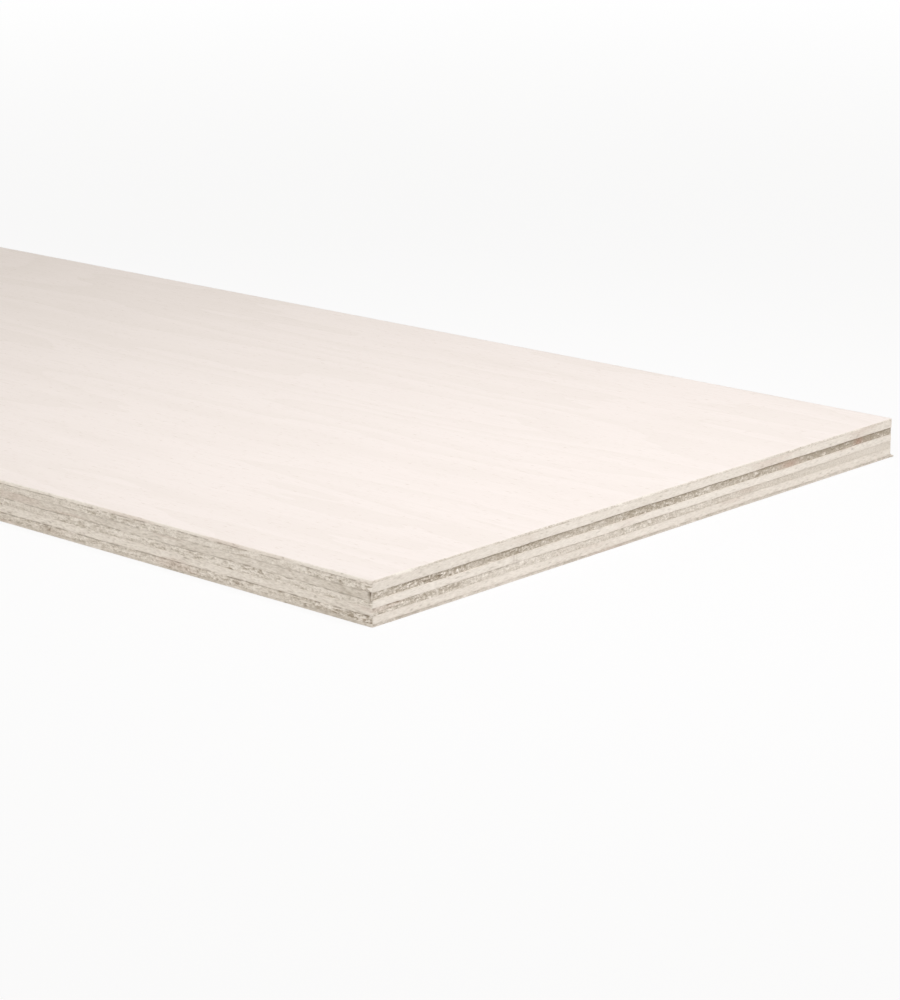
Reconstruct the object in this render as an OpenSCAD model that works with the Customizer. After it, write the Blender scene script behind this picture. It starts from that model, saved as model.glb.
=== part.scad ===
// Plywood sheet of seven glued plies.
// The grain of the face, the back and the two inner plies runs along X, and the grain of the three
// crossbands runs along Y, so the edges show long grain and end grain by turns.
// The sheet lies flat: its back is on Z = 0, and its middle is on the Z axis.

/* [Sheet] */
// Length of the sheet, along the grain of its faces
sheet_length = 600; // [200:1:2500]
// Width of the sheet, across the grain of its faces
sheet_width = 300; // [100:1:1250]
// Radius of the four corners, blunted by handling
corner_r = 0.8; // [0.5:0.1:3]

/* [Plies] */
// Thickness of the face veneer and of the back veneer
veneer_t = 0.9; // [0.6:0.1:2]
// Thickness of each crossband, with its grain across the sheet
crossband_t = 2.8; // [1.2:0.1:5]
// Thickness of each inner ply, with its grain along the sheet
inner_ply_t = 2.9; // [1.2:0.1:5]
// Ease that sanding leaves on the outer edge of the face and of the back
arris = 0.3; // [0.1:0.05:0.4]

/* [Hidden] */
$fn = 48;

// Lay-up, as ply thicknesses from the back of the sheet to its face
layup = [veneer_t, crossband_t, inner_ply_t, crossband_t, inner_ply_t, crossband_t, veneer_t];
sheet_t = ply_z(len(layup));

face_colour = [0.95, 0.90, 0.84];
long_grain_colour = [0.80, 0.72, 0.61];
cross_grain_colour = [0.90, 0.85, 0.77];

// Height of the underside of a ply: the sum of the plies below it
function ply_z(level) = level == 0 ? 0 : ply_z(level - 1) + layup[level - 1];

// Calls its children at the centre of each corner's arc
module at_corners() {
    for (x = [-1, 1], y = [-1, 1])
        translate([x * (sheet_length / 2 - corner_r), y * (sheet_width / 2 - corner_r)])
            children();
}

// Outline that the saw gives every ply
module sheet_outline() {
    square([sheet_length, sheet_width - 2 * corner_r], center = true);
    square([sheet_length - 2 * corner_r, sheet_width], center = true);
    at_corners() circle(r = corner_r);
}

// One ply with square edges, in its place in the lay-up
module ply(level) {
    translate([0, 0, ply_z(level)])
        linear_extrude(layup[level]) sheet_outline();
}

// Sloped layer between two corners: a strip of the given length along X, as wide as the given width at
// its foot and narrower at its top by the arris on each side
module eased_strip(length, width) {
    rotate([90, 0, 90])
        linear_extrude(length, center = true)
            polygon([
                [-width / 2, 0], [width / 2, 0],
                [width / 2 - arris, arris], [-width / 2 + arris, arris]
            ]);
}

// Outer veneer, lying on Z = 0 with its eased edge upwards
module outer_veneer() {
    linear_extrude(veneer_t - arris) sheet_outline();
    translate([0, 0, veneer_t - arris]) {
        eased_strip(sheet_length - 2 * corner_r, sheet_width);
        rotate(90) eased_strip(sheet_width - 2 * corner_r, sheet_length);
        at_corners() cylinder(h = arris, r1 = corner_r, r2 = corner_r - arris);
    }
}

module face_veneer() {
    color(face_colour) translate([0, 0, sheet_t - veneer_t]) outer_veneer();
}

module upper_crossband() {
    color(cross_grain_colour) ply(5);
}

module upper_inner_ply() {
    color(long_grain_colour) ply(4);
}

module middle_crossband() {
    color(cross_grain_colour) ply(3);
}

module lower_inner_ply() {
    color(long_grain_colour) ply(2);
}

module lower_crossband() {
    color(cross_grain_colour) ply(1);
}

module back_veneer() {
    color(face_colour) translate([0, 0, veneer_t]) rotate([180, 0, 0]) outer_veneer();
}

face_veneer();
upper_crossband();
upper_inner_ply();
middle_crossband();
lower_inner_ply();
lower_crossband();
back_veneer();
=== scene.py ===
# %% [markdown]
# # A sheet of pale seven-ply plywood
# The sheet lies flat on a white floor. It is seven veneers glued with their grain crossed, and almost all
# that the eye reads as plywood happens on a sawn edge 16 mm high: smooth plies cut along the grain, torn
# ones cut across it, and thin dark glue lines between them. So this lesson spends its points on the edge
# and keeps the faces plain.
#
# The CAD model is loaded first as a fixed frame. Each ply is then drawn again as a finer mesh in the same
# place.

# %% Load the frame
import math
from collections import namedtuple

import bpy
import numpy as np
from mathutils import Matrix, Vector


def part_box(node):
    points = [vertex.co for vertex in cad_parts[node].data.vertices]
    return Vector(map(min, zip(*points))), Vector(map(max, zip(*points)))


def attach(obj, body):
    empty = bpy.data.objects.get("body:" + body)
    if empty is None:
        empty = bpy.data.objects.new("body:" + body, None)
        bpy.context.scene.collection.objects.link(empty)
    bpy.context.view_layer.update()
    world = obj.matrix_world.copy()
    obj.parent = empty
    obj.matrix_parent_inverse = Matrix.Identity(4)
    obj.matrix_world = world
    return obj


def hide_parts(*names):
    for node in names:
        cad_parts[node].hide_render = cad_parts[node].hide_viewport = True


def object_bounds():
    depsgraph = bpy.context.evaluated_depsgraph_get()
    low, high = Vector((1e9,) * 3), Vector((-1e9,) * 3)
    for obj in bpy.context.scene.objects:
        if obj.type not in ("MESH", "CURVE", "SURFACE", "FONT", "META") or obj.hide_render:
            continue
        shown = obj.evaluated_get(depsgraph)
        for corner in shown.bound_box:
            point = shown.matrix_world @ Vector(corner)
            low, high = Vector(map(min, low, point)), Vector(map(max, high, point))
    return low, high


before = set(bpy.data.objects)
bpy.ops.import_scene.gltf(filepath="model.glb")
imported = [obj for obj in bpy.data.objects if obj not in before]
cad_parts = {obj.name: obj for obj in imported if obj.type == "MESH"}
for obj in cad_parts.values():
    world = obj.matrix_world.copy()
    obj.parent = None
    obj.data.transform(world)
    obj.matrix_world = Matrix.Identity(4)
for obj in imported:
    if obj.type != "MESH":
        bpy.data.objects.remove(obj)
cad_low, cad_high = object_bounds()
MM = 0.001
print("CAD box in mm:", [round(size / MM, 2) for size in cad_high - cad_low])

# %% [markdown]
# ## The outline as one closed path
# A ply's edge is a profile carried round the outline of the sheet. The outline could be a Bezier curve,
# but a plain array of points is easier to paint noise on. The points start at the corner nearest the
# camera and run anticlockwise: the near end, the far side, the far end, and the near side back to the
# start.
#
# Each count of cells can be halved six times, which matters later, when the flat faces are closed with
# few triangles.

# %% The outline
END_CELLS, SIDE_CELLS = 640, 1280
COLUMNS = 2 * (END_CELLS + SIDE_CELLS)
half_x, half_y = cad_high.x, cad_high.y
END_MM, SIDE_MM = 2 * half_y / MM, 2 * half_x / MM
COLUMN_MM = END_MM / END_CELLS


def square_loop(halvings, inset):
    """Points round a rectangle `inset` metres inside the sheet's, with its cells halved `halvings` times.
    One end and one side are straight rows of even steps. The others mirror them through the middle."""
    up = np.linspace(-1, 1, END_CELLS >> halvings, endpoint=False)
    along = np.linspace(1, -1, SIDE_CELLS >> halvings, endpoint=False)
    half = np.concatenate([
        np.stack([np.ones_like(up), up], 1),
        np.stack([along, np.ones_like(along)], 1),
    ])
    return np.concatenate([half, -half]) * (half_x - inset, half_y - inset)


def rounded_outline(depth, radius):
    """The outline with round corners, pushed in by `depth`, one value for each column and row of the edge.
    Take q, the nearest point of the rectangle shrunk by the radius. The outline's point is q plus the
    radius, less the depth, along the line from q to the square outline."""
    inner = np.array([half_x - radius, half_y - radius])
    square = square_loop(0, 0.0)
    q = np.clip(square, -inner, inner)
    outwards = (square - q) / np.linalg.norm(square - q, axis=1, keepdims=True)
    return q[:, None] + (radius - depth)[..., None] * outwards[:, None]


path_mm = np.arange(COLUMNS) * COLUMN_MM
loop_mm = COLUMNS * COLUMN_MM
print(f"{COLUMNS} columns, {COLUMN_MM:.3f} mm apart, {loop_mm:.0f} mm round")

# %% [markdown]
# ## Noise that closes on itself
# Torn fibres, saw marks and stains are all noise, each with its own size along the edge and up it.
# Blender's Displace modifier could add such relief, but its textures know nothing of where along the edge
# a point lies. Smoothing white noise with a Gaussian through the Fourier transform gives any size wanted,
# and the result has no seam at the corner where the path begins.

# %% Noise round the edge
SPARE_ROWS, SPARE_SIGMAS = 8, 6


def edge_noise(rng, rows, row_mm, along_mm, across_mm):
    """Seeded noise with a mean of 0 and a spread of 1, one value for each column and row.
    The Fourier transform of white noise is multiplied by that of a Gaussian with a sigma of along_mm along
    the edge and across_mm up it. Spare rows are made and cut off, so the top doesn't repeat the bottom."""
    spare = rows + SPARE_ROWS + int(SPARE_SIGMAS * across_mm / row_mm)
    white = rng.standard_normal((COLUMNS, spare))
    along = np.fft.fftfreq(COLUMNS, COLUMN_MM)[:, None] * along_mm
    across = np.fft.rfftfreq(spare, row_mm)[None] * across_mm
    gaussian = np.exp(-2 * np.pi ** 2 * (along ** 2 + across ** 2))
    smooth = np.fft.irfft2(np.fft.rfft2(white) * gaussian, s=white.shape)[:, :rows]
    return (smooth - smooth.mean()) / smooth.std()


def smoothstep(low, high, x):
    """0 below low, 1 above high, and the cubic 3t^2 - 2t^3 between them."""
    t = np.clip((x - low) / (high - low), 0, 1)
    return t * t * (3 - 2 * t)


# %% [markdown]
# ## What a saw leaves
# A saw that cuts along the fibres leaves a ply smooth, with a few dark hairlines. One that cuts across
# them tears the ends out, and leaves pits and tufts about a millimetre wide. The plies take turns: what
# is smooth on the ends of the sheet is torn on its sides. Each edge could be sculpted by hand, but 1.8 m
# of it is a long way. Instead a few numbers say how a ply came out of the saw, and functions turn them
# into relief and colour.

# %% Words for a cut, a ply and a mark
# Cut is how one ply came out on one kind of edge. tone goes from clean wood, 0, to dark open grain, 1.
# tear is the spread of the torn relief and recess is its mean depth, both in mm. glue_above and
# glue_below say how dark the glue line is there. kept is the share of tear and glue that is left at the
# far end of the edge. The last field is tone added at the top of the ply and taken off at its bottom:
# painted shade where the ply above overhangs it; a negative value makes the top lighter and the bottom
# darker.
Cut = namedtuple("Cut", "tone tear recess glue_above glue_below kept shade", defaults=(1.0, 0.0))

# Ply has a material slot, the way the grain runs, the radius of the corners, and how the ends and the sides
# were cut.
Ply = namedtuple("Ply", "slot grain corner_mm ends sides")

# Mark reaches half_mm to each side of a place on the path. up and high are its middle and its half
# height, as shares of the ply's height, and a mark as high as WHOLE_PLY is level over the ply. The rest
# is what it adds.
WHOLE_PLY = 9.0
MARK_KEYS = ("depth", "tone", "pit", "blush", "tear")
Mark = namedtuple(
    "Mark", ("ply", "at_mm", "half_mm", "up", "high", *MARK_KEYS), defaults=(0.5, WHOLE_PLY, 0, 0, 0, 0, 0))
print("a cut is", Cut._fields, "and a mark adds", MARK_KEYS)

# %% [markdown]
# ## Ends and sides
# The ends of the sheet are cut across its length and the sides along it, so every ply has two kinds of
# edge. Vertex groups could tell them apart. Here one value for each column does: 1 on the ends, 0 on the
# sides, and a short blend over each corner, so that nothing stops dead there.

# %% Tell the ends from the sides
CORNER_BLEND_MM = 0.6

from_corner = path_mm % (END_MM + SIDE_MM)
to_end_middle = np.abs(from_corner - END_MM / 2)
on_ends = smoothstep(-CORNER_BLEND_MM, CORNER_BLEND_MM, END_MM / 2 - to_end_middle)[:, None]
along_edge = np.where(from_corner < END_MM, from_corner / END_MM, (from_corner - END_MM) / SIDE_MM)[:, None]


def by_edge(on_the_ends, on_the_sides):
    """A value for each column: the first on the ends, the second on the sides, blended over each corner."""
    return on_ends * on_the_ends + (1 - on_ends) * on_the_sides


print(f"{on_ends.mean():.0%} of the path lies on the ends")

# %% [markdown]
# ## Glue lines
# The film of glue between two plies is thinner than 0.1 mm. On a sawn edge it shows as a dark line in a
# shallow groove, broken where fibres were dragged over it. A solid for each film would be too thin to
# see. So the line is painted on the plies beside it, a quarter to a third of a millimetre from the joint,
# which is coarser than the film, because a finer line wouldn't show.

# %% One glue line
# In each pair of widths or gaps the first is for the ends and the second for the sides.
GLUE_MM = (0.34, 0.24)
GLUE_GAP, GAP_SOFT = (-0.9, -0.3), 0.8
GLUE_SWELL, SWELL_LIMITS = 0.35, (0.4, 2)
# Sizes of the noises in mm, along the edge and up it.
GAP_MM, SWELL_MM = (1.4, 2.0), (0.8, 4.0)


def glue_line(rng, rows, row_mm, to_line_mm):
    """A dark line beside a joint: a bell curve of the distance to it.
    It is broken where one noise is low, and another makes it swell and thin."""
    gap = by_edge(*GLUE_GAP)
    broken = smoothstep(gap - GAP_SOFT, gap + GAP_SOFT, edge_noise(rng, rows, row_mm, *GAP_MM))
    swell = (1 + GLUE_SWELL * edge_noise(rng, rows, row_mm, *SWELL_MM)).clip(*SWELL_LIMITS)
    return broken * np.exp(-(to_line_mm / (by_edge(*GLUE_MM) * swell)) ** 2)


# %% [markdown]
# ## Marks
# Not all of an edge is chance: there are chips, stains and tufts that belong to this one sheet. Each
# could be a sculpted stroke with paint over it. Here each is a soft bump added to the same numbers that
# the noise feeds, so one line of a table changes relief and colour together. The table itself comes
# later, after the plies.

# %% Add up the marks
def mark_sums(name, rows):
    """What the marks of one ply add to its depth, tone, pits, blush and tear, for each column and row.
    A mark is a bell curve along the path, times another up the ply, times each amount that it gives."""
    up = np.linspace(0, 1, rows)[None]
    sums = {key: np.zeros((COLUMNS, rows)) for key in MARK_KEYS}
    for mark in (m for m in MARKS if m.ply == name):
        away = np.abs(path_mm - mark.at_mm)
        away = np.minimum(away, loop_mm - away)[:, None]
        bell = np.exp(-(away / mark.half_mm) ** 2 - ((up - mark.up) / mark.high) ** 2)
        for key in MARK_KEYS:
            sums[key] += getattr(mark, key) * bell
    return sums


# %% [markdown]
# ## One cut edge
# Relief alone looks like plaster, and colour alone looks printed. So both come from the same noises: what
# is torn deep is also dark, partly as the open grain's own colour and partly as painted shade in the
# hollows, and the tufts that stand proud are paler, partly as painted light on them. Plies cut across the
# grain get tufts and thin growth rings, plies cut along it get hairlines, and slow patches keep either
# from being even.
#
# The result is the relief and four values that a material can read from the mesh: open grain, pits,
# which also carry painted shade in holes and under overhangs, a reddish blush, and how speckled the
# fibres look.

# %% One cut edge
# A pair in mm is the size of a noise along the edge and up it. A pair of limits, or from and to, is a low
# and a high value of the noise. Any other pair is for the ends and for the sides.
TUFT_MM, GROWTH_MM, HAIRLINE_MM = (0.32, 0.24), (1.00, 0.16), (0.6, 0.16)
PATCH_MM, SLOW_MM, BLUSH_MM = (9.0, 3.0), (32.0, 6.0), (9.0, 2.0)
# Relief: what the torn noise is made of, how uneven it is, and what else is cut.
TUFT_SHARE, GROWTH_SHARE = (0.8, 0.6), (0.5, 0.9)
TEAR_UNEVEN, TEAR_LIMITS, RECESS_UNEVEN = (0.40, 0.3), (0.4, 1.6), 0.25
GLUE_GROOVE_MM, FIBRE_RELIEF_MM, PITTED_MM = 0.12, 0.02, 0.13
# Tone: how much of it comes with the relief, the open grain's own colour and painted shade in the
# hollows, and where proud tufts turn pale, partly as painted light, in spreads of the noise.
TONE_UNEVEN, TONE_AND_SHADE_PER_MM, FIBRE_TONE = 0.10, 2.0, (0.04, 0.07)
TUFT_PALE_AND_LIT, PALE_AND_LIT_FROM_TO = 0.32, (1.2, 2.2)
# Pits with their painted shade, hairlines, glue and blush: how dark each gets, and where it starts and is
# full.
PIT_DARK_AND_SHADE, PIT_GROWTH, PIT_FROM_TO = 0.5, 0.6, (1.4, 3.0)
HAIRLINE_DARK, HAIRLINE_FROM_TO = (0.25, 0.35), (1.3, 3.0)
MOST_GLUE = (0.52, 0.72)
BLUSH_SHARE, BLUSH_FROM_TO = 0.15, (1.0, 2.2)
TORN_SPECKLE, SPECKLE_PER_PITTED, LONG_GRAIN_SPECKLE = 0.3, 0.7, (0.34, 0.40)


def saw_cut(rng, name, ply, rows, height_mm):
    """Relief in mm and the four values, each with one number per column and row.
    Relief is the recess, plus torn noise where the cut crosses the grain or fibre noise where it follows
    it, plus a groove at each glue line. Open grain is the ply's tone plus a share of the same noise, less
    where tufts stand proud. A pit is the darkest of three: the deep tail of the torn noise, a hairline and
    the glue."""
    ends, sides, mark = ply.ends, ply.sides, mark_sums(name, rows)
    row_mm = height_mm / (rows - 1)
    up_mm = np.linspace(0, height_mm, rows)[None]
    tuft = edge_noise(rng, rows, row_mm, *TUFT_MM)
    growth = edge_noise(rng, rows, row_mm, *GROWTH_MM)
    fibre = edge_noise(rng, rows, row_mm, *HAIRLINE_MM)
    patch = edge_noise(rng, rows, row_mm, *PATCH_MM)
    slow = edge_noise(rng, rows, row_mm, *SLOW_MM)

    across = on_ends if ply.grain == "X" else 1 - on_ends
    kept = 1 - along_edge * (1 - by_edge(ends.kept, sides.kept))
    uneven = (1 + by_edge(*TEAR_UNEVEN) * patch).clip(*TEAR_LIMITS)
    rough = (by_edge(ends.tear, sides.tear) * kept * uneven + mark["tear"]).clip(0)
    pitted = (rough / PITTED_MM).clip(0, 1)
    torn = across * rough * (by_edge(*TUFT_SHARE) * tuft + by_edge(*GROWTH_SHARE) * growth)
    above = by_edge(ends.glue_above, sides.glue_above) * glue_line(rng, rows, row_mm, height_mm - up_mm)
    below = by_edge(ends.glue_below, sides.glue_below) * glue_line(rng, rows, row_mm, up_mm)
    glue = (kept * (above + below)).clip(0, by_edge(*MOST_GLUE))

    recess = by_edge(ends.recess, sides.recess) * (1 + RECESS_UNEVEN * slow)
    relief = recess + GLUE_GROOVE_MM * glue + mark["depth"] + torn + (1 - across) * FIBRE_RELIEF_MM * fibre
    tone = by_edge(ends.tone, sides.tone) * (1 + TONE_UNEVEN * patch + TONE_UNEVEN * slow) + mark["tone"]
    # Tone grows with the depth of the tear: the open grain's own darker colour, and painted shade in the
    # hollows.
    open_grain = tone + TONE_AND_SHADE_PER_MM * torn + (1 - across) * by_edge(*FIBRE_TONE) * fibre
    # Tufts that stand proud are made paler, partly as painted light on them.
    open_grain = open_grain - across * pitted * TUFT_PALE_AND_LIT * smoothstep(*PALE_AND_LIT_FROM_TO, -tuft)
    # Tone added at the top of the ply and taken off at its bottom: painted shade under an overhanging ply; a
    # negative value lightens the top and darkens the bottom.
    open_grain = open_grain + by_edge(ends.shade, sides.shade) * (2 * up_mm / height_mm - 1)

    # Holes where the tear is deepest are darkened, partly as painted shade in them.
    holes_and_shade = across * PIT_DARK_AND_SHADE * smoothstep(*PIT_FROM_TO, tuft + PIT_GROWTH * growth) * pitted
    hairlines = (1 - across) * by_edge(*HAIRLINE_DARK) * smoothstep(*HAIRLINE_FROM_TO, fibre)
    # The darkest of holes, hairlines and glue, plus the marks: partly painted shade in holes, in the chip
    # and under the overhanging crossband.
    pit = np.maximum(np.maximum(holes_and_shade, hairlines), glue) + mark["pit"]
    reddish = smoothstep(*BLUSH_FROM_TO, edge_noise(rng, rows, row_mm, *BLUSH_MM))
    blush = BLUSH_SHARE * reddish + mark["blush"]
    speckle = across * (TORN_SPECKLE + SPECKLE_PER_PITTED * pitted)
    speckle = speckle + (1 - across) * by_edge(*LONG_GRAIN_SPECKLE)
    values = {"open_grain": open_grain, "pit": pit, "blush": blush}
    return relief, {key: value.clip(0, 1) for key, value in values.items()} | {"speckle": speckle}


# %% [markdown]
# ## Closing a flat face with few triangles
# The edge has thousands of columns, but a flat face needs only a coarse grid. A fan to one middle point
# would make needles a foot long. Instead each ring inwards has half as many points as the one before,
# three triangles to a cell, and after a few rings a plain grid fills the rest. Every vertex is shared, so
# the shell is closed.

# %% Rings and grid
FIRST_RING_MM = 2.0


def halving_row(outer, inner):
    """Triangles between a loop of 2n vertex numbers and a loop of n inside it, three to each inner cell."""
    a, b, c = outer[0::2], outer[1::2], np.roll(outer, -2)[0::2]
    d, e = inner, np.roll(inner, -1)
    return np.concatenate([np.stack(corners, 1) for corners in ((a, b, d), (b, e, d), (b, c, e))])


def flat_cap(outer, first, halvings):
    """Points, triangles and quads that close the loop `outer`, with new vertices numbered from `first`.
    Ring k has the outline's cells halved k times and lies 2^k - 1 steps inside. The last is a grid's rim."""
    points, triangles = [], []
    insets = [FIRST_RING_MM * MM * (2 ** level - 1) for level in range(halvings + 1)]
    for level in range(1, halvings):
        ring = square_loop(level, insets[level])
        numbers = first + np.arange(len(ring))
        triangles.append(halving_row(outer, numbers))
        points.append(ring)
        outer, first = numbers, first + len(ring)
    across, up = SIDE_CELLS >> halvings, END_CELLS >> halvings
    x = np.linspace(-1, 1, across + 1) * (half_x - insets[-1])
    y = np.linspace(-1, 1, up + 1) * (half_y - insets[-1])
    points.append(np.stack(np.meshgrid(x, y, indexing="ij"), -1).reshape(-1, 2))
    grid = first + np.arange(len(points[-1])).reshape(across + 1, up + 1)
    rim = np.concatenate([grid[across, :up], grid[across:0:-1, up], grid[0, up:0:-1], grid[:across, 0]])
    triangles.append(halving_row(outer, rim))
    quads = np.stack([grid[:-1, :-1], grid[1:, :-1], grid[1:, 1:], grid[:-1, 1:]], -1).reshape(-1, 4)
    return np.concatenate(points), np.concatenate(triangles), quads


# %% [markdown]
# ## A map for the bake
# No material here reads a UV map. It is there so that a bake of the patterns keeps the edge sharp.
# Blender's own unwrap would lay the edge out as one ribbon, 1.8 m long and 3 mm high, and waste nearly
# all of the square. So the edge is cut into sixteen strips laid on each other, and the flat faces share
# the rest.

# %% Places on the map
EDGE_STRIPS = 16
STRIP_COLUMNS = COLUMNS // EDGE_STRIPS
STRIP_MARGIN, STRIP_FILLED = 0.04, 0.92
UV_MARGIN = 0.004


def into_box(uv, box):
    """Moves places in the unit square into a box (left, low, width, height) of the map, less a margin."""
    low = np.array(box[:2]) + UV_MARGIN
    size = np.array(box[2:]) - 2 * UV_MARGIN
    return low + uv * size


def edge_places(rows, box):
    """The four UV corners of every edge quad: columns run along a strip, rows up it, strip over strip."""
    column, row = np.meshgrid(np.arange(COLUMNS), np.arange(rows - 1), indexing="ij")
    strip, within = column // STRIP_COLUMNS, column % STRIP_COLUMNS
    corners = [(within + i, row + j) for i, j in ((0, 0), (1, 0), (1, 1), (0, 1))]
    u = np.stack([c / STRIP_COLUMNS for c, r in corners], -1)
    low = strip + STRIP_MARGIN
    v = np.stack([(low + STRIP_FILLED * r / (rows - 1)) / EDGE_STRIPS for c, r in corners], -1)
    return into_box(np.stack([u, v], -1).reshape(-1, 2), box)


def face_places(xy, box):
    """UV places of points on a flat face, which fills its box."""
    return into_box(xy / (2 * half_x, 2 * half_y) + 0.5, box)


# %% [markdown]
# ## One ply as a closed shell
# A ply is a thin slab with a rough edge. An extruded outline with a Displace modifier could give it, but
# the modifier would need the whole face cut as fine as the edge. Here the edge is a grid of columns and
# rows, and a cap closes it above and below. foreach_set then hands Blender whole arrays, which is far
# quicker than a list of faces.

# %% Build a shell
UV_NAME = "OFBake"
SHARP_ANGLE = math.radians(55)
# halvings and slots are pairs, for the top cap and the bottom one. The boxes are places on the map.
Caps = namedtuple("Caps", "halvings slots edge_box top_box low_box")


def fill_mesh(name, points, parts, slots, places, values):
    """A mesh of groups of faces, each group with one material slot and a UV place for every corner.
    A face's first loop is the sum of the corners before it. values belong to the first points, and
    the rest get 0."""
    corners = np.concatenate([part.ravel() for part in parts])
    sizes = np.concatenate([np.full(len(part), part.shape[1]) for part in parts])
    slot_numbers = np.repeat(slots, [len(part) for part in parts])
    mesh = bpy.data.meshes.new(name)
    mesh.vertices.add(len(points))
    mesh.vertices.foreach_set("co", points.astype(np.float32).ravel())
    mesh.loops.add(len(corners))
    mesh.loops.foreach_set("vertex_index", corners.astype(np.int32))
    mesh.polygons.add(len(sizes))
    mesh.polygons.foreach_set("loop_start", (np.cumsum(sizes) - sizes).astype(np.int32))
    mesh.polygons.foreach_set("material_index", slot_numbers.astype(np.int32))
    mesh.polygons.foreach_set("use_smooth", np.ones(len(sizes), bool))
    uv_map = mesh.uv_layers.new(name=UV_NAME)
    uv_map.uv.foreach_set("vector", np.concatenate(places).astype(np.float32).ravel())
    for key, value in values.items():
        full = np.zeros(len(points), np.float32)
        full[:value.size] = value.ravel()
        mesh.attributes.new(key, "FLOAT", "POINT").data.foreach_set("value", full)
    mesh.update(calc_edges=True)
    mesh.validate()
    mesh.set_sharp_from_angle(angle=SHARP_ANGLE)
    return mesh


def ply_shell(name, edge_xy, edge_z, cap_z, values, caps):
    """A closed mesh from the edge's points, columns by rows, and a cap on its top and bottom loops.
    cap_z are the heights of the bottom and the top cap inside their first ring. values are what the
    material reads on the edge. The edge has slot 0."""
    columns, rows = edge_xy.shape[:2]
    number = np.arange(columns * rows).reshape(columns, rows)
    beside = np.roll(number, -1, 0)
    edge_quads = np.stack([number[:, :-1], beside[:, :-1], beside[:, 1:], number[:, 1:]], -1).reshape(-1, 4)
    top_xy, top_triangles, top_quads = flat_cap(number[:, -1], number.size, caps.halvings[0])
    first = number.size + len(top_xy)
    low_xy, low_triangles, low_quads = flat_cap(number[:, 0], first, caps.halvings[1])
    low_triangles, low_quads = low_triangles[:, ::-1], low_quads[:, ::-1]
    points = np.concatenate([
        np.concatenate([edge_xy, edge_z[..., None]], -1).reshape(-1, 3),
        np.column_stack([top_xy, np.full(len(top_xy), cap_z[1])]),
        np.column_stack([low_xy, np.full(len(low_xy), cap_z[0])]),
    ])
    parts = (edge_quads, top_quads, low_quads, top_triangles, low_triangles)
    slots = (0, *caps.slots, *caps.slots)
    places = [edge_places(rows, caps.edge_box)]
    for part, box in zip(parts[1:], (caps.top_box, caps.low_box, caps.top_box, caps.low_box)):
        places.append(face_places(points[part.ravel(), :2], box))
    return fill_mesh(name, points, parts, slots, places, values)


# %% [markdown]
# ## Colours and nodes
# Colours are written as the hex values a paint program shows, which are sRGB, and one function makes them
# linear for the shader. One more small function adds a node, so that a material reads as a list of what
# feeds what. Wood needs the same noise stretched along its grain again and again, so that has a function
# too.

# %% Colour and node helpers
def linear(hex_colour, alpha=1.0):
    """An sRGB hex colour as linear red, green, blue and alpha, by the sRGB curve."""
    srgb = np.array([int(hex_colour[i:i + 2], 16) for i in (0, 2, 4)]) / 255
    low, high = srgb / 12.92, ((srgb + 0.055) / 1.055) ** 2.4
    return (*np.where(srgb <= 0.04045, low, high).tolist(), alpha)


def node(tree, kind, settings=None, inputs=None):
    """Adds a node, sets its properties, then gives each input, by name or number, a value or a link."""
    made = tree.nodes.new("ShaderNode" + kind)
    for key, value in (settings or {}).items():
        setattr(made, key, value)
    for key, value in (inputs or {}).items():
        if isinstance(value, bpy.types.NodeSocket):
            tree.links.new(value, made.inputs[key])
        else:
            made.inputs[key].default_value = value
    return made


def empty_tree(owner):
    """The node tree of a material or a world, with nothing in it."""
    owner.use_nodes = True
    owner.node_tree.nodes.clear()
    return owner.node_tree


def stretched_noise(tree, place, size_mm, grain, detail, roughness=0.5):
    """Noise whose cells have these sizes along the grain, across it and through the ply.
    A pattern's scale is how often it repeats in a metre, and the grain runs along X or along Y."""
    along, across, up = (1 / (size * MM) for size in size_mm)
    scale = (along, across, up) if grain == "X" else (across, along, up)
    scaled = node(tree, "Mapping", {}, {"Vector": place, "Scale": scale})
    return node(tree, "TexNoise", {}, {
        "Vector": scaled.outputs[0], "Scale": 1.0, "Detail": detail, "Roughness": roughness}).outputs[0]


# A Mix node has sockets for each kind of data. These are the numbers of its colour sockets.
MIX_COLOUR = {"data_type": "RGBA"}
A, B, COLOUR_OUT = 6, 7, 2

# %% [markdown]
# ## Sawn poplar
# The inner plies are rotary-cut poplar, pale and dull, with a matt surface straight from the saw. The
# fibres are a solid texture that runs through the ply along its grain, so one material is right on every
# edge: the same fibres are streaks where the saw followed them and dots where it crossed them. An image
# of wood would need a map for each. What the saw did comes from the mesh, as the four values painted on
# it.
#
# Real fibres are about a millimetre long and a few hundredths wide. They are drawn as cells 1.4 mm long,
# 0.8 mm wide and 0.36 mm high, because finer ones wouldn't show, and a little longer and wider in the
# crossbands, which look coarser.

# %% Sawn poplar material
CLEAN_EDGE, OPEN_GRAIN, PIT_AND_SHADE, BLUSH = "FDF6EC", "B2A694", "7E6C58", "B58A76"
FIBRE_MM = {"X": (1.4, 0.8, 0.36), "Y": (2.0, 1.0, 0.30)}
STREAK_MM, GRIT_MM = (20.0, 3.0, 1.2), 0.22
FIBRE_SHARE, STREAK_SHARE = 2.2, 0.12
FIBRE_DETAIL, GRIT_DETAIL, MEAN_NOISE = 2.0, 1.0, 0.5
SAWN_BUMP, SAWN_BUMP_MM = 0.4, 0.1
SAWN_ROUGHNESS, CELLULOSE_IOR = 0.85, 1.53


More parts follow.
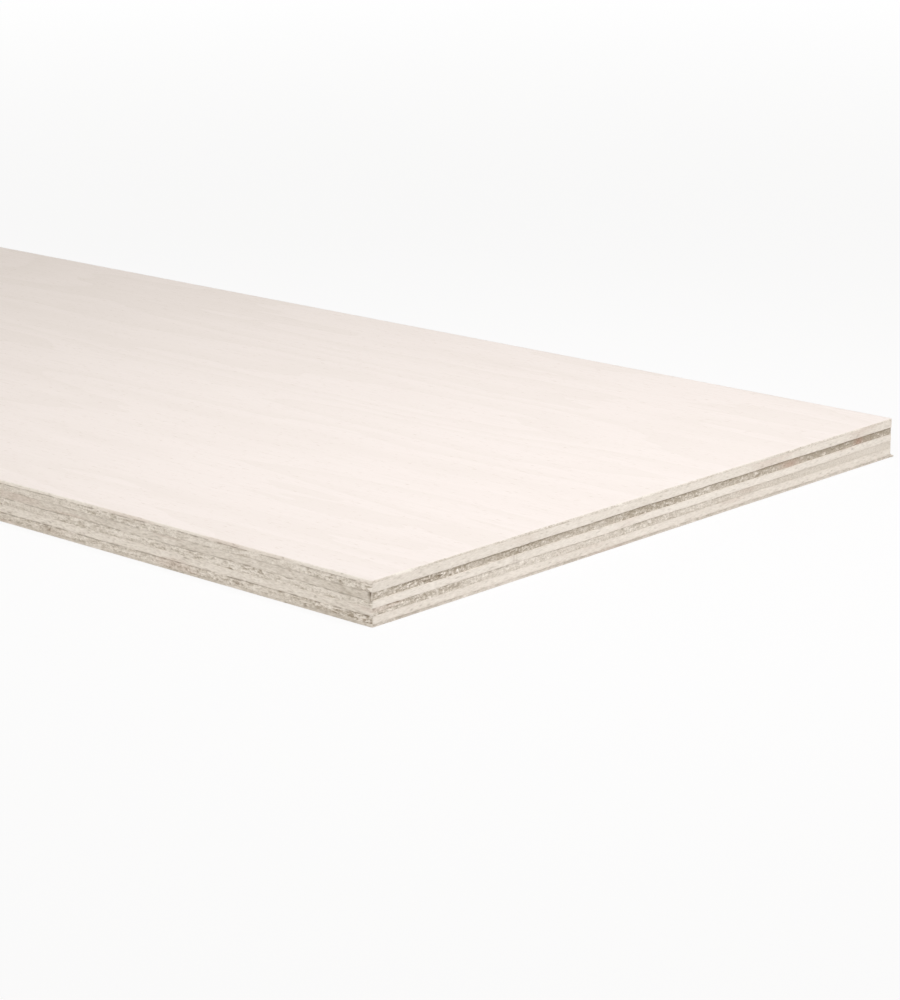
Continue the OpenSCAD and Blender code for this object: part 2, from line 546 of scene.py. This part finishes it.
def sawn_poplar(name, grain):
    """Clean wood, mixed to open grain by the mesh's value plus two fibre noises, then to pits and blush.
    The fine noise counts for more where the mesh says that the cut is speckled. It also makes the bump,
    with finer grit."""
    material = bpy.data.materials.new(name)
    tree = empty_tree(material)
    place = node(tree, "TexCoord").outputs["Object"]
    painted = {key: node(tree, "Attribute", {"attribute_name": key}).outputs["Fac"]
               for key in ("open_grain", "pit", "blush", "speckle")}
    noises = []
    for size_mm in (FIBRE_MM[grain], STREAK_MM):
        noise = stretched_noise(tree, place, size_mm, grain, FIBRE_DETAIL)
        noises.append(node(tree, "Math", {"operation": "SUBTRACT"}, {0: noise, 1: MEAN_NOISE}).outputs[0])
    strength = node(tree, "Math", {"operation": "MULTIPLY"}, {0: painted["speckle"], 1: FIBRE_SHARE})
    share = node(tree, "Math", {"operation": "MULTIPLY_ADD"}, {
        0: noises[0], 1: strength.outputs[0], 2: painted["open_grain"]})
    share = node(tree, "Math", {"operation": "MULTIPLY_ADD", "use_clamp": True}, {
        0: noises[1], 1: STREAK_SHARE, 2: share.outputs[0]})
    colour = node(tree, "Mix", MIX_COLOUR, {
        0: share.outputs[0], A: linear(CLEAN_EDGE), B: linear(OPEN_GRAIN)})
    # The pit colour also paints the shade in holes, in the chip and under the overhanging crossband.
    for key, tint in (("pit", PIT_AND_SHADE), ("blush", BLUSH)):
        colour = node(tree, "Mix", MIX_COLOUR, {
            0: painted[key], A: colour.outputs[COLOUR_OUT], B: linear(tint)})
    grit = node(tree, "TexNoise", {}, {"Vector": place, "Scale": 1 / (GRIT_MM * MM), "Detail": GRIT_DETAIL})
    height = node(tree, "Math", {"operation": "ADD"}, {0: noises[0], 1: grit.outputs[0]})
    bump = node(tree, "Bump", {}, {
        "Strength": SAWN_BUMP, "Distance": SAWN_BUMP_MM * MM, "Height": height.outputs[0]})
    shader = node(tree, "BsdfPrincipled", {}, {
        "Base Color": colour.outputs[COLOUR_OUT], "Roughness": SAWN_ROUGHNESS, "IOR": CELLULOSE_IOR,
        "Normal": bump.outputs[0]})
    node(tree, "OutputMaterial", {}, {"Surface": shader.outputs[0]})
    return material


# %% [markdown]
# ## The sanded face
# The outer veneers are the same poplar, peeled in one long sheet and sanded. The face is nearly white and
# its figure is faint: broad rings where the knife passed through the tree's layers, fine fibres along the
# sheet, and here and there a short grey pore. A wave texture would give stripes that repeat, so each is
# noise, stretched along the grain.
#
# Real pores are under 0.1 mm wide. They are drawn 0.35 mm wide, because finer ones wouldn't show.

# %% Sanded poplar material
FACE = "FAF1EC"
RING, FIBRE, PORE = "F6EDE7", "F4EBE5", "DDD0C5"
RING_MM, FACE_FIBRE_MM, PORE_MM = (340.0, 44.0, 44.0), (34.0, 0.8, 0.8), (4.0, 0.35, 0.35)
RINGS, RING_DETAIL, RING_ROUGHNESS = 9.0, 4.0, 0.4
FACE_FIBRE_DETAIL, PORE_DETAIL = 3.0, 1.0
RING_FROM_TO, FIBRE_FROM_TO, PORE_FROM_TO = (0.30, 1.0), (0.45, 0.80), (0.66, 0.80)
SANDED_ROUGHNESS = (0.50, 0.62)
SANDED_BUMP, SANDED_BUMP_MM = 0.25, 0.03


def sanded_poplar(name):
    """The face colour, mixed towards each layer's tint where the layer's value passes from start to full.
    Rings are the level lines of a slow noise: it is multiplied up and only its fraction is kept, so each
    ring darkens slowly and ends sharply. The bump is the fibre noise, about a hundredth of a millimetre
    deep, as fine sanding leaves it."""
    material = bpy.data.materials.new(name)
    tree = empty_tree(material)
    place = node(tree, "TexCoord").outputs["Object"]
    depth = stretched_noise(tree, place, RING_MM, "X", RING_DETAIL, RING_ROUGHNESS)
    depth = node(tree, "Math", {"operation": "MULTIPLY"}, {0: depth, 1: RINGS}).outputs[0]
    rings = node(tree, "Math", {"operation": "FRACT"}, {0: depth}).outputs[0]
    fibres = stretched_noise(tree, place, FACE_FIBRE_MM, "X", FACE_FIBRE_DETAIL)
    pores = stretched_noise(tree, place, PORE_MM, "X", PORE_DETAIL)
    colour = linear(FACE)
    layers = (
        (rings, *RING_FROM_TO, RING),
        (fibres, *FIBRE_FROM_TO, FIBRE),
        (pores, *PORE_FROM_TO, PORE),
    )
    for value, start, full, tint in layers:
        share = node(tree, "MapRange", {}, {"Value": value, "From Min": start, "From Max": full})
        mixed = node(tree, "Mix", MIX_COLOUR, {0: share.outputs[0], A: colour, B: linear(tint)})
        colour = mixed.outputs[COLOUR_OUT]
    rough = node(tree, "MapRange", {}, {
        "Value": fibres, "To Min": SANDED_ROUGHNESS[0], "To Max": SANDED_ROUGHNESS[1]})
    bump = node(tree, "Bump", {}, {
        "Strength": SANDED_BUMP, "Distance": SANDED_BUMP_MM * MM, "Height": fibres})
    shader = node(tree, "BsdfPrincipled", {}, {
        "Base Color": colour, "Roughness": rough.outputs[0], "IOR": CELLULOSE_IOR,
        "Normal": bump.outputs[0]})
    node(tree, "OutputMaterial", {}, {"Surface": shader.outputs[0]})
    return material


materials = {
    "X": sawn_poplar("sawn_poplar_long_ply", "X"),
    "Y": sawn_poplar("sawn_poplar_crossband", "Y"),
    "face": sanded_poplar("sanded_poplar_face"),
}
print("materials:", [material.name for material in materials.values()])

# %% [markdown]
# ## The seven plies
# Now each ply is described by how it came out of the saw, from the face down. The upper inner ply was
# torn deepest on the ends, so the crossband over it throws a dark line; there its glue line is painted
# darker and its top darker still, as painted shade. The lower one is torn near the first corner and clean
# at the far end. On the sides it is the crossbands that are torn, each under a dark glue line. A material
# for each ply could hold all this, but a table is easier to compare with the real edge.

# %% The lay-up
PLIES = {
    "face_veneer": Ply(
        "face_veneer", "X", 0.8,
        ends=Cut(0.31, 0.03, 0.04, 0.0, 0.1),
        sides=Cut(0.03, 0.02, 0.00, 0.0, 0.1)),
    "upper_crossband": Ply(
        "crossband", "Y", 0.9,
        ends=Cut(0.19, 0.02, 0.00, 0.0, 0.1),
        sides=Cut(0.33, 0.07, 0.04, 0.92, 0.25)),
    # On the ends the glue line above is painted extra dark and the top darker, as painted shade under the
    # crossband that overhangs this recessed ply.
    "upper_inner_ply": Ply(
        "inner_ply", "X", 1.0,
        ends=Cut(0.89, 0.10, 0.38, 1.0, 0.1, kept=0.6, shade=0.12),
        sides=Cut(0.33, 0.02, 0.03, 0.4, 0.25)),
    "middle_crossband": Ply(
        "crossband", "Y", 1.0,
        ends=Cut(0.15, 0.02, 0.00, 0.1, 0.1),
        sides=Cut(0.35, 0.07, 0.04, 0.92, 0.0, shade=-0.07)),
    "lower_inner_ply": Ply(
        "inner_ply", "X", 1.0,
        ends=Cut(0.47, 0.07, 0.14, 0.75, 0.1, kept=0.1),
        sides=Cut(0.20, 0.02, 0.00, 0.0, 0.32)),
    "lower_crossband": Ply(
        "crossband", "Y", 1.0,
        ends=Cut(0.21, 0.02, 0.00, 0.1, 0.2),
        sides=Cut(0.40, 0.085, 0.12, 1.15, 0.12)),
    # The back veneer's edge is darker than the face veneer's, partly as painted shade where the sheet meets
    # the floor.
    "back_veneer": Ply(
        "face_veneer", "X", 0.9,
        ends=Cut(0.46, 0.03, 0.10, 0.3, 0.0),
        sides=Cut(0.36, 0.02, 0.04, 0.1, 0.0)),
}
print(len(PLIES), "plies, torn up to", max(max(p.ends.tear, p.sides.tear) for p in PLIES.values()), "mm")

# %% [markdown]
# ## The marks of this sheet
# The eye knows this sheet by a few accidents: a chip out of the near corner, painted dark as shade in its
# hollow, with a pale torn patch beside it, two reddish stains, two fine checks with a tuft under them, and
# a splinter of the back veneer at the far corner. Broad faint marks then make a ply lighter or darker over
# a stretch. Places are in mm along the path, which starts at the near corner, so 1798 lies just before
# that corner, on the near side.

# %% The table of marks
MARKS = (
    # The chip at the near corner, its hollow painted dark as shade, and the darker stretch before it.
    Mark("upper_inner_ply", 1798.8, 0.45, depth=0.5, tone=0.1, pit=0.35),
    Mark("upper_inner_ply", 1798.5, 0.70, up=0.8, high=0.35, depth=0.7, pit=0.95),
    Mark("upper_inner_ply", 1785.0, 22.0, tone=0.16),
    # The pale torn patch after it, and rougher wood, less deep, further along the end.
    Mark("upper_inner_ply", 4.8, 4.2, up=0.9, high=0.7, depth=-0.46, tone=-0.40, pit=-0.8),
    Mark("upper_inner_ply", 28.0, 24.0, depth=-0.07, tone=-0.08, pit=-0.20, tear=0.07),
    Mark("upper_inner_ply", 34.0, 30.0, up=0.9, high=0.3, tone=-0.16, pit=-0.16),
    Mark("upper_inner_ply", 74.0, 5.0, tone=0.06, tear=0.06),
    # Two reddish stains, and the darker far stretch of the end that they lie on.
    Mark("upper_inner_ply", 231.0, 6.0, up=0.4, high=0.6, blush=0.45),
    Mark("upper_inner_ply", 277.0, 3.0, up=0.5, high=0.6, depth=0.05, tone=0.1, blush=0.50),
    Mark("upper_inner_ply", 268.0, 26.0, depth=0.08, tone=0.12),
    # Two checks across the middle crossband, and the tuft under them.
    Mark("middle_crossband", 70.3, 0.35, depth=0.06, pit=0.22),
    Mark("middle_crossband", 71.7, 0.35, depth=0.06, pit=0.16),
    Mark("lower_inner_ply", 74.5, 1.1, up=0.8, high=0.25, depth=-0.05, tone=-0.35, pit=-0.3),
    # Lighter, darker and rougher stretches.
    Mark("middle_crossband", 35.0, 35.0, tone=-0.07),
    Mark("lower_inner_ply", 1765.0, 30.0, tone=-0.08),
    Mark("lower_inner_ply", 20.0, 40.0, tone=0.15),
    Mark("lower_inner_ply", 16.0, 26.0, tear=0.05),
    Mark("lower_inner_ply", 32.0, 11.0, tear=-0.06, pit=-0.4),
    Mark("lower_inner_ply", 270.0, 90.0, tone=-0.05),
    Mark("lower_crossband", 30.0, 45.0, tone=-0.05),
    # Torn wood and a pit low on the near corner, and the lighter end of the back veneer.
    Mark("lower_crossband", 1794.0, 6.0, up=0.6, high=0.7, depth=0.05, tone=0.12, tear=0.12),
    Mark("lower_crossband", 1799.2, 0.5, up=0.25, high=0.3, depth=0.25, tone=0.2, pit=0.5),
    Mark("back_veneer", 3.0, 5.0, tone=-0.35),
    # The splinter at the far corner of the near end.
    Mark("back_veneer", 300.0, 1.4, up=0.6, high=0.3, depth=-1.5),
)
print(len(MARKS), "marks on", len({mark.ply for mark in MARKS}), "plies")

# %% [markdown]
# ## Joints that wander
# Veneers are soft, and the press sinks one into another, so a joint is never quite straight. Each joint
# gets a slow wave, and on the near end a lean as well: there the real joints lie a few tenths of a
# millimetre off even heights. On the sides the face veneer looks a little deeper. Two plies share each
# line, so no gap opens.

# %% Joint heights
SEED = 20
WAVE_MM, WAVE_LONG_MM, MOST_WAVE_MM = 0.08, 11.0, 0.20
# How far each joint, from the top, lies off its true height at the two corners of the near end.
JOINT_LEAN_MM = ((0.0, 0.0), (-0.25, 0.06), (-0.36, 0.18), (-0.16, 0.28), (0.30, 0.38), (0.22, 0.28))
LEAN_FADE_MM = 60.0
FACE_DEEPER_MM = 0.25
# A joint is a line, so its noise has one row, and only its size along the edge counts.
LINE = {"rows": 1, "row_mm": 1.0, "across_mm": 0.1}

rng = np.random.default_rng(SEED)
from_start = (path_mm + loop_mm / 2) % loop_mm - loop_mm / 2
lean_at = (-LEAN_FADE_MM, 0, END_MM, END_MM + LEAN_FADE_MM)
joints_mm = []
for lean in JOINT_LEAN_MM:
    wave = WAVE_MM * edge_noise(rng, along_mm=WAVE_LONG_MM, **LINE)
    leaning = np.interp(from_start, lean_at, (0, *lean, 0))[:, None]
    joints_mm.append(wave.clip(-MOST_WAVE_MM, MOST_WAVE_MM) + leaning)
joints_mm[0] = joints_mm[0] + by_edge(0.0, -FACE_DEEPER_MM)
flat = np.zeros((COLUMNS, 1))
joints_mm = [flat, *joints_mm, flat]
print("joints wander by", [round(float(np.ptp(joint)), 2) for joint in joints_mm], "mm")

# %% [markdown]
# ## The edge of each ply
# An inner ply has even rows. A veneer has its rows crowded towards its outer arris, which sanding has
# rounded a little and handling has chipped. A Bevel modifier would round every arris alike. Here the
# arris is a share of each row's depth, and noise makes it deeper where a chip has gone, paler too,
# because a chip shows fresh wood.

# %% Points of an edge
# Each row's share of the ply's height, and the share of the arris that a veneer's row is cut back.
PLY_SHARE = np.linspace(0, 1, 13)
VENEER_SHARE = np.array([0, 0.22, 0.44, 0.64, 0.82, 0.94, 1.0])
ARRIS_SHARE = np.array([0, 0, 0, 0.06, 0.25, 0.6, 1.0])
ARRIS_MM = {"face_veneer": 0.25, "back_veneer": 0.12}
ARRIS_KEPT, CHIP_ON_SIDES, CHIP_MORE_ON_ENDS = 0.8, 0.4, 1.6
CHIP_MM, CHIP_FROM_TO, CHIP_PALE = (3.2, 9.0), (1.0, 2.4), 0.3
# The deepest cut, as a share of the corner's radius.
DEEPEST_IN_CORNERS = 0.9


def ply_edge(index, name, ply, low_z, high_z):
    """The points of a ply's edge as x and y and as z, columns by rows, and the values painted on them.
    A point lies on the rounded outline, pushed in by the relief and the arris, and a row's share of the way
    from the joint below to the joint above. Depth stops short of the corner's radius, past which the edge
    would fold."""
    rng = np.random.default_rng(SEED + 1 + index)
    share = VENEER_SHARE if name in ARRIS_MM else PLY_SHARE
    rows, height_mm = len(share), (high_z - low_z) / MM
    relief, values = saw_cut(rng, name, ply, rows, height_mm)
    arris_mm = np.zeros((1, rows))
    if name in ARRIS_MM:
        chips = smoothstep(*CHIP_FROM_TO, edge_noise(rng, rows, height_mm / (rows - 1), *CHIP_MM))
        chipped = ARRIS_KEPT + (CHIP_ON_SIDES + CHIP_MORE_ON_ENDS * on_ends) * chips
        arris_mm = ARRIS_MM[name] * ARRIS_SHARE * chipped
        values["open_grain"] = (values["open_grain"] - CHIP_PALE * chips).clip(0)
    if name == "back_veneer":
        share, arris_mm = 1 - share[::-1], arris_mm[:, ::-1]
    depth = (relief + arris_mm) * MM
    depth = np.where(relief < 0, depth, np.minimum(depth, DEEPEST_IN_CORNERS * ply.corner_mm * MM))
    top, bottom = high_z + joints_mm[index] * MM, low_z + joints_mm[index + 1] * MM
    return rounded_outline(depth, ply.corner_mm * MM), bottom + share * (top - bottom), values


# %% [markdown]
# ## Build the plies
# Each ply takes its place from the CAD node that it replaces, so a change of thickness there is followed
# here. Hidden faces are closed with as few triangles as can be, and the two that show with a finer grid.
# Joining all plies into one mesh would save a few lines, but then no ply could be hidden or given another
# wood.

# %% Build the plies
HIDDEN_HALVINGS, FACE_HALVINGS = 6, 3
OUTER_BOX, INNER_BOX, RIM_BOX = (0, 0, 1, 0.5), (0, 0.77, 0.46, 0.23), (0, 0.5, 1, 0.27)
HIDDEN_CAPS = Caps(
    (HIDDEN_HALVINGS, HIDDEN_HALVINGS), (0, 0), (0, 0.26, 1, 0.74), (0, 0, 0.5, 0.25), (0.5, 0, 0.5, 0.25))
VENEER_CAPS = {
    "face_veneer": Caps((FACE_HALVINGS, HIDDEN_HALVINGS), (1, 0), RIM_BOX, OUTER_BOX, INNER_BOX),
    "back_veneer": Caps((HIDDEN_HALVINGS, FACE_HALVINGS), (0, 1), RIM_BOX, INNER_BOX, OUTER_BOX),
}

scene = bpy.context.scene
for index, (name, ply) in enumerate(PLIES.items()):
    low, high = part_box(name)
    edge_xy, edge_z, values = ply_edge(index, name, ply, low.z, high.z)
    caps = VENEER_CAPS.get(name, HIDDEN_CAPS)
    mesh = ply_shell(name + "_ply", edge_xy, edge_z, (low.z, high.z), values, caps)
    mesh.materials.append(materials[ply.grain])
    if name in VENEER_CAPS:
        mesh.materials.append(materials["face"])
    piece = bpy.data.objects.new("sawn_" + name, mesh)
    scene.collection.objects.link(piece)
    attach(piece, "root")
    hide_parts(name)
    triangles = len(mesh.loops) - 2 * len(mesh.polygons)
    print(f"{piece.name}: {triangles} triangles, {(high.z - low.z) / MM:.1f} mm thick")

# %% [markdown]
# ## The camera
# The photograph's lens and direction were worked out from the sheet's own straight edges. A camera could
# be nudged by eye until it fits. This one is hung from one known point instead: the near bottom corner
# has to fall on its pixel, at its distance along the line of sight.

# %% Camera
PHOTO_PX = (900, 1000)
FOCAL_PX = 2924
AZIMUTH, PITCH = math.radians(42.29), math.radians(15.43)
CORNER_PX = (372.6, 628.1)
CORNER_AWAY = 0.9564
SENSOR_MM = 36
CLIP_START, CLIP_END = 0.01, 50

right = Vector((math.cos(AZIMUTH), math.sin(AZIMUTH), 0))
ahead = Vector((
    -math.sin(AZIMUTH) * math.cos(PITCH), math.cos(AZIMUTH) * math.cos(PITCH), -math.sin(PITCH)))
above = right.cross(ahead)
offset = [(CORNER_PX[i] - PHOTO_PX[i] / 2) / FOCAL_PX * CORNER_AWAY for i in (0, 1)]
near_corner = Vector((cad_high.x, cad_low.y, cad_low.z))
eye = near_corner - right * offset[0] + above * offset[1] - ahead * CORNER_AWAY
camera = bpy.data.objects.new("camera", bpy.data.cameras.new("camera"))
camera.data.sensor_width = SENSOR_MM
camera.data.lens = SENSOR_MM * FOCAL_PX / max(PHOTO_PX)
camera.data.clip_start, camera.data.clip_end = CLIP_START, CLIP_END
camera.matrix_world = Matrix.Translation(eye) @ Matrix((right, above, -ahead)).transposed().to_4x4()
scene.collection.objects.link(camera)
scene.camera = camera
print("camera at", [round(x, 3) for x in eye], "lens", round(camera.data.lens, 1))

# %% [markdown]
# ## Lamp and cards
# One large lamp stands above the near end, which is why the face fades towards its far end and the near
# end is brighter than the long side. Its spread is narrow, so the fade is steep. White cards round a
# table throw light back at the edges. They could be planes that catch the lamp, but a wide soft sun from
# each card's side does the same and never shows in the picture.

# %% Lamp and cards
LAMP_WATTS, LAMP_SIZE, LAMP_SPREAD = 1.0, 0.5, math.radians(60)
LAMP_AT, LAMP_TO = Vector((0.72, -0.04, 1.03)), Vector((0.22, 0.0, 0.0))
COOL_WHITE = "F8F9FF"
Card = namedtuple("Card", "side strength")
CARDS = {
    "near_side_card": Card(Vector((-0.2, -1.0, 0.45)), 0.38),
    "far_end_card": Card(Vector((-1.0, -0.3, 0.45)), 0.15),
    "far_side_card": Card(Vector((0.5, 1.0, 0.45)), 0.15),
}
CARD_ANGLE = math.radians(40)

scene.view_settings.view_transform = "Standard"
lamp = bpy.data.objects.new("lamp", bpy.data.lights.new("lamp", "AREA"))
lamp.data.shape, lamp.data.size, lamp.data.energy = "SQUARE", LAMP_SIZE, LAMP_WATTS
lamp.data.spread = LAMP_SPREAD
lamp.data.color = linear(COOL_WHITE)[:3]
lamp.location = LAMP_AT
lamp.rotation_euler = (LAMP_TO - LAMP_AT).to_track_quat("-Z", "Y").to_euler()
scene.collection.objects.link(lamp)
for name, card in CARDS.items():
    light = bpy.data.objects.new(name, bpy.data.lights.new(name, "SUN"))
    light.data.energy, light.data.angle = card.strength, CARD_ANGLE
    light.rotation_euler = (-card.side).to_track_quat("-Z", "Y").to_euler()
    scene.collection.objects.link(light)
print("lamp", LAMP_WATTS, "W and", len(CARDS), "cards")

# %% [markdown]
# ## A white room
# The rest of the light is a soft room, a little warm, against a lamp that is a little cool, so the shaded
# far end looks creamier than the near one. A picture of a real room could light it, but all that matters
# here is an even glow. The room lights the sheet dimly, yet looks plain white where it is seen.

# %% Room
ROOM_LIGHT, WARM_WHITE, PURE_WHITE = 0.46, "FFFAF0", "FFFFFF"


def seen_directly(tree):
    """1 for a ray from the camera, or one that a shiny or clear surface sends on, and otherwise 0."""
    ray = node(tree, "LightPath")
    shiny = node(tree, "Math", {"operation": "ADD"}, {
        0: ray.outputs["Is Camera Ray"], 1: ray.outputs["Is Glossy Ray"]})
    return node(tree, "Math", {"operation": "ADD", "use_clamp": True}, {
        0: shiny.outputs[0], 1: ray.outputs["Is Transmission Ray"]}).outputs[0]


scene.world = bpy.data.worlds.new("room")
room = empty_tree(scene.world)
soft = node(room, "Background", {}, {"Color": linear(WARM_WHITE), "Strength": ROOM_LIGHT})
white = node(room, "Background", {}, {"Color": linear(PURE_WHITE), "Strength": 1.0})
sky = node(room, "MixShader", {}, {0: seen_directly(room), 1: soft.outputs[0], 2: white.outputs[0]})
node(room, "OutputWorld", {}, {"Surface": sky.outputs[0]})
print("room light", ROOM_LIGHT)

# %% [markdown]
# ## White paper
# The sheet lies on white paper, which is matt and takes a soft shadow. Lit only by the room it would come
# out grey, and brighter lamps would burn out the face. So to the eye the paper also glows, more with
# distance, until it is as white as the room and its edge can't be seen. The light that it throws on the
# sheet has no part in that.

# %% Floor
FLOOR, FLOOR_GLOW, FLOOR_HALF = "F4F3F4", 0.86, 4.0
FADE_FROM, FADE_TO = 0.4, 1.8
# The paper lies a hair under the sheet, so that the two faces don't fight.
FLOOR_UNDER_MM = 0.05

paper = bpy.data.materials.new("white_paper")
tree = empty_tree(paper)
matt = node(tree, "BsdfDiffuse", {}, {"Color": linear(FLOOR)})
glow = node(tree, "Emission", {}, {"Color": linear(PURE_WHITE), "Strength": 1.0})
away = node(tree, "VectorMath", {"operation": "LENGTH"}, {0: node(tree, "TexCoord").outputs["Object"]})
fade = node(tree, "MapRange", {}, {
    "Value": away.outputs["Value"], "From Min": FADE_FROM, "From Max": FADE_TO,
    "To Min": FLOOR_GLOW, "To Max": 1.0})
part = node(tree, "Math", {"operation": "MULTIPLY"}, {0: seen_directly(tree), 1: fade.outputs[0]})
both = node(tree, "MixShader", {}, {0: part.outputs[0], 1: matt.outputs[0], 2: glow.outputs[0]})
node(tree, "OutputMaterial", {}, {"Surface": both.outputs[0]})

floor_mesh = bpy.data.meshes.new("floor")
floor_z = -FLOOR_UNDER_MM * MM
square = [(x * FLOOR_HALF, y * FLOOR_HALF, floor_z) for x, y in ((-1, -1), (1, -1), (1, 1), (-1, 1))]
floor_mesh.from_pydata(square, [], [(0, 1, 2, 3)])
floor_mesh.materials.append(paper)
floor = bpy.data.objects.new("floor", floor_mesh)
scene.collection.objects.link(floor)
print("floor", 2 * FLOOR_HALF, "m wide")
